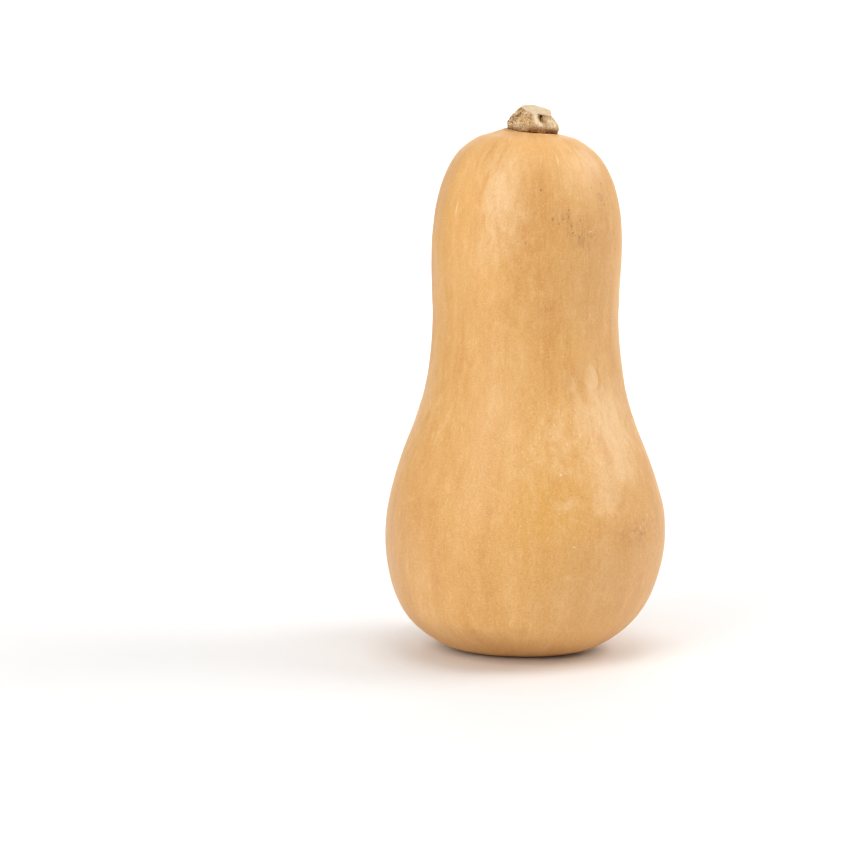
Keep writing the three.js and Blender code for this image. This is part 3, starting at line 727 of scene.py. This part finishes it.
def stem_material():
    t = Tree("stem_cork")
    pos = t.t.nodes.new("ShaderNodeTexCoord").outputs["Object"]
    mm = t.vec(pos, (1000, 1000, 1000))
    names = ("dip", "up", "cut", "crest", "pinkish", "bark", "flute", "mealy", "rim", "crack", "grains")
    dip, up, cut, crest, pinkish, bark, flute, mealy, rim, crack, grains = (t.attr(n) for n in names)
    grain = t.noise(mm, 0.95, 4, 0.66)
    lumps_ = t.noise(mm, 3.4, 3, 0.5)
    fine = t.noise(mm, 0.4, 3, 0.6)
    col = t.mix(t.ramp(t.math("MULTIPLY_ADD", grain, 0.6, t.mul(lumps_, 0.4)), 0.4, 0.6), lin(204, 166, 118), lin(237, 208, 165))
    # Grey, tan and orange grains beside each other, with painted shade in the gaps between them.
    hue = t.cells(t.vec(mm, (1, 1, 1), (4, 4, 4)), 1.0, "Color")
    col = t.mix(t.ramp(hue, 0.56, 0.74, 0, 0.42), col, lin(184, 160, 114))
    col = t.mix(t.ramp(hue, 0.36, 0.22, 0, 0.38), col, lin(222, 164, 98))
    col = t.mix(t.ramp(grains, 0.4, 0.06, 0, 0.8), col, lin(136, 90, 48))
    # Painted shade in the dips of the relief and a painted highlight on its raised parts.
    col = t.mix(t.ramp(dip, -0.2, -0.9, 0, 0.8), col, lin(122, 78, 40))
    col = t.mix(t.ramp(dip, 0.05, 0.5, 0, 0.65), col, lin(240, 220, 184))
    col = t.mix(t.mul(t.attr("olive"), t.ramp(grain, 0.38, 0.55), 0.7), col, lin(180, 154, 104))
    col = t.mix(t.mul(t.attr("amber"), t.ramp(grain, 0.4, 0.52), 0.85), col, lin(228, 166, 84))
    # Brownish hollow under the front of the cut.
    col = t.mix(t.mul(flute, 0.84), col, t.mix(t.ramp(grain, 0.42, 0.6), lin(152, 112, 64), lin(192, 155, 98)))
    # Mealy pale flecks, thick on the lower left lobe and thin elsewhere.
    flecks = t.mul(t.ramp(t.noise(mm, 0.7, 3, 0.6), 0.52, 0.6), t.math("ADD", t.ramp(t.noise(mm, 4.0, 2, 0.5), 0.42, 0.6, 0.1, 0.7), mealy, clamp=True), t.ramp(grains, 0.2, 0.6))
    col = t.mix(t.mul(flecks, 0.85), col, lin(247, 230, 202))
    # Pale crests down the ridges; the right one has pinkish strands.
    strand = t.noise(t.vec(pos, (1000, 1000, 200)), 0.85, 3, 0.6)
    col = t.mix(t.mul(crest, 0.94), col, t.mix(t.ramp(grain, 0.38, 0.62), lin(229, 202, 160), lin(247, 230, 197)))
    col = t.mix(t.mul(pinkish, t.ramp(strand, 0.5, 0.43), 0.72), col, lin(200, 148, 108))
    # Dark bark strips on the left ridge.
    col = t.mix(t.mul(t.ramp(bark, 0.45, 0.25), t.ramp(bark, 0.02, 0.12), 0.9), col, lin(122, 76, 38))
    # Brown foot, darker towards the bottom.
    low_edge = t.math("ADD", up, t.mul(t.math("SUBTRACT", lumps_, 0.5), 0.5))
    col = t.mix(t.mul(t.attr("brownish"), t.ramp(grain, 0.62, 0.42, 0.72, 1), 0.97), col, lin(146, 93, 32))
    col = t.mix(t.ramp(low_edge, 0.26, 0.04, 0, 0.66), col, lin(152, 102, 48))
    # Painted shade: a near-black line at the very bottom, where the stub meets the skin.
    col = t.mix(t.ramp(up, 0.08, 0.0, 0, 0.85), col, lin(70, 42, 18))
    # Painted shade down in the cracks and the notch of the cut.
    col = t.mix(t.ramp(crack, 0.35, 1.1), col, lin(92, 56, 26))
    # The cut end: pale dense wood with faint dots of its strands and a darker pith.
    strands = t.ramp(t.cells(t.vec(pos, (1000, 1000, 0.0)), 1.1), 0.26, 0.12)
    face = t.mix(t.ramp(t.noise(mm, 2.8, 4, 0.55), 0.38, 0.66), lin(212, 190, 154), lin(223, 203, 170))
    face = t.mix(t.mul(strands, 0.34), face, lin(196, 166, 124))
    ring = t.mul(t.ramp(rim, 0.58, 0.68), t.ramp(rim, 0.8, 0.7))
    face = t.mix(t.mul(ring, t.ramp(lumps_, 0.4, 0.6, 0.1, 0.4)), face, lin(200, 172, 128))
    face = t.mix(t.ramp(t.noise(mm, 1.9, 3, 0.6), 0.52, 0.7, 0, 0.55), face, lin(229, 193, 160))
    face = t.mix(t.ramp(rim, 0.2, 0.06, 0, 0.35), face, lin(200, 170, 124))
    col = t.mix(cut, col, face)
    t.link(col, t.bsdf.inputs["Base Color"])
    t.link(t.ramp(grain, 0.3, 0.7, 0.78, 0.95), t.bsdf.inputs["Roughness"])
    n1 = t.bump(grain, 0.0003, 0.8)
    n2 = t.bump(fine, 0.00014, 0.8, n1)
    t.link(n2, t.bsdf.inputs["Normal"])
    t.bsdf.inputs["Specular IOR Level"].default_value = 0.25
    return t.mat


fruit.data.materials.append(skin_material())
stem.data.materials.append(stem_material())


# ---------------------------------------------------------------- floor, light, camera
def plain(name, rgb, rough):
    m = bpy.data.materials.new(name)
    m.use_nodes = True
    b = m.node_tree.nodes["Principled BSDF"]
    b.inputs["Base Color"].default_value = rgb
    b.inputs["Roughness"].default_value = rough
    b.inputs["Specular IOR Level"].default_value = 0.2
    return m


def floor():
    """A sheet that runs level under the squash and curves up behind it."""
    pts = [(-3.0, 0.0), (1.3, 0.0)]
    for k in range(1, 13):
        a = k / 12 * math.pi / 2
        pts.append((1.3 + 1.0 * math.sin(a), 1.0 - 1.0 * math.cos(a)))
    pts.append((2.3, 3.5))
    verts, faces = [], []
    for y, z in pts:
        verts += [(-1.1, y, z), (1.7, y, z)]
    for i in range(len(pts) - 1):
        faces.append((2 * i, 2 * i + 1, 2 * i + 3, 2 * i + 2))
    me = bpy.data.meshes.new("floor")
    me.from_pydata(verts, [], faces)
    me.polygons.foreach_set("use_smooth", np.ones(len(me.polygons), bool))
    ob = bpy.data.objects.new("floor", me)
    scene.collection.objects.link(ob)
    ob.data.materials.append(plain("floor_white", (0.91, 0.91, 0.91, 1), 0.7))
    ob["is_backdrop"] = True


floor()
world = bpy.data.worlds.new("studio")
scene.world = world
world.use_nodes = True
world.node_tree.nodes["Background"].inputs[0].default_value = (1, 1, 1, 1)
world.node_tree.nodes["Background"].inputs[1].default_value = 0.4


def softbox(name, place, target, size, watts, colour=(1, 1, 1)):
    light = bpy.data.lights.new(name, "AREA")
    light.shape = "RECTANGLE"
    light.size, light.size_y = size
    light.energy = watts
    light.color = colour
    ob = bpy.data.objects.new(name, light)
    scene.collection.objects.link(ob)
    ob.location = place
    ob.rotation_mode = "QUATERNION"
    ob.rotation_quaternion = (Vector(target) - Vector(place)).to_track_quat("-Z", "Y")


softbox("key_left", (-0.88, -1.12, 0.87), (0, 0, 0.14), (1.0, 1.05), 12.6)
softbox("side_right", (1.42, 0.2, 1.14), (0, 0, 0.14), (1.15, 1.15), 14.6)
softbox("over", (0.1, -0.35, 1.6), (0, 0, 0.14), (0.8, 0.6), 5.4)
softbox("backdrop", (0, 0.95, 1.6), (0, 2.3, 0.5), (2.4, 0.5), 30)

FOCAL_PX, W = 2799.0, 842
DIST, ELEV = 1.350, math.radians(6.6)
YAW, PITCH = math.radians(2.15), -(math.radians(6.6) + math.radians(0.69))
aim_at = np.array([0, 0, 0.128])
eye = aim_at + DIST * np.array([0, -math.cos(ELEV), math.sin(ELEV)])
fwd = np.array([-math.sin(YAW) * math.cos(PITCH), math.cos(YAW) * math.cos(PITCH), math.sin(PITCH)])
right = np.cross(fwd, [0, 0, 1.0])
right /= np.linalg.norm(right)
upv = np.cross(right, fwd)
cam_data = bpy.data.cameras.new("camera")
cam = bpy.data.objects.new("camera", cam_data)
scene.collection.objects.link(cam)
cam_data.sensor_width = 36
cam_data.lens = FOCAL_PX * 36 / W
cam_data.clip_start, cam_data.clip_end = 0.05, 50
cam.matrix_world = Matrix(((right[0], upv[0], -fwd[0], eye[0]), (right[1], upv[1], -fwd[1], eye[1]), (right[2], upv[2], -fwd[2], eye[2]), (0, 0, 0, 1)))
scene.camera = cam
scene.view_settings.view_transform = "Standard"
scene.view_settings.look = "None"
scene.view_settings.exposure = 0.0

low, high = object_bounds()
